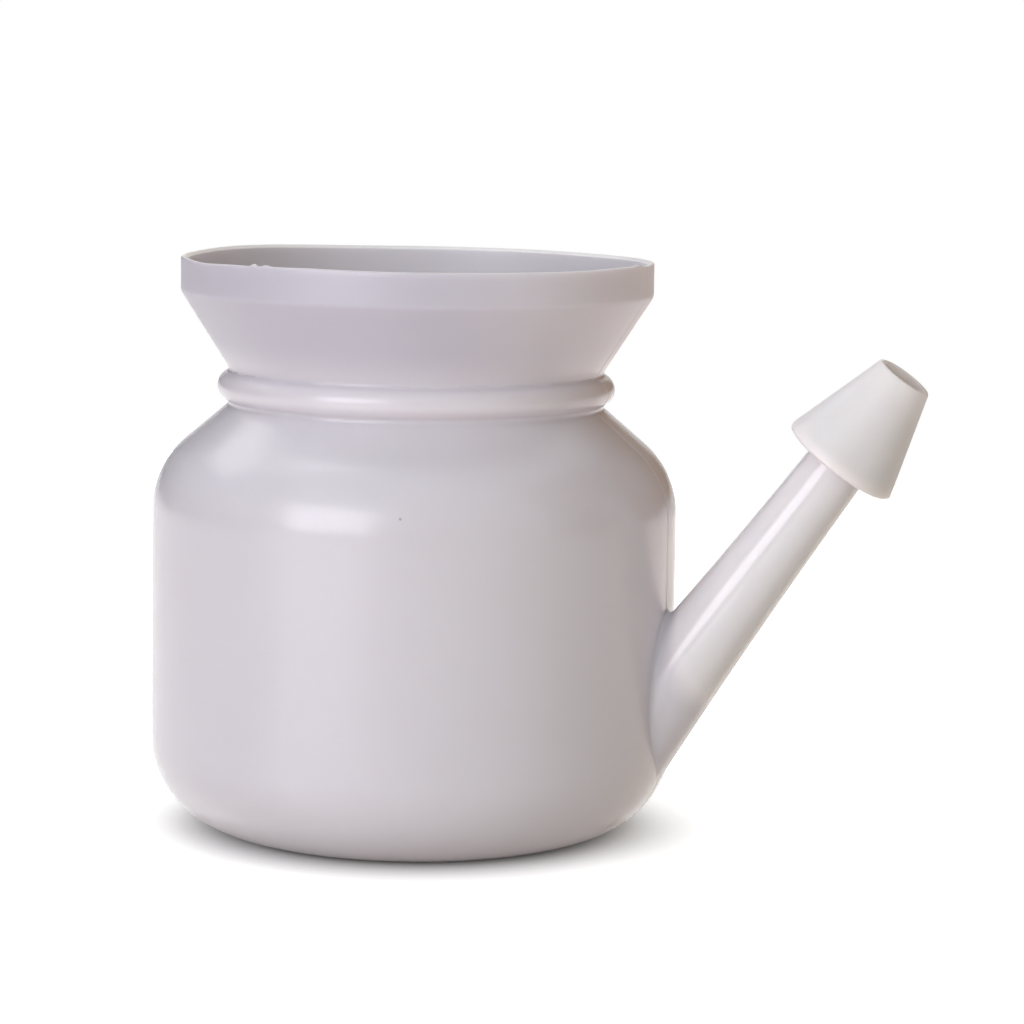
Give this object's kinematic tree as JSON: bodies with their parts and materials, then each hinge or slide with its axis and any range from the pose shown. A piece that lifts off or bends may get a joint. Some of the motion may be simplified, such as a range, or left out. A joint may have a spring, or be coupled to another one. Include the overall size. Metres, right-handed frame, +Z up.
{
  "type": "neti pot",
  "caption": "Squat round pot blown in one piece, with a beaded neck, a flared open mouth and a rising spout with a hollow end cone, for pouring rinsing water into the nose.",
  "frame": {"origin": "centre of the base on the floor, on the body's axis", "axes": "+Z up along the body's axis, +X towards the spout, which rises in the XZ plane"},
  "size_m": [0.1421, 0.096, 0.1049],
  "materials": {
    "milky_plastic": "satin, milky and slightly translucent"
  },
  "bodies": {
    "root": {"neti_pot": "milky_plastic"}
  },
  "joints": []
}
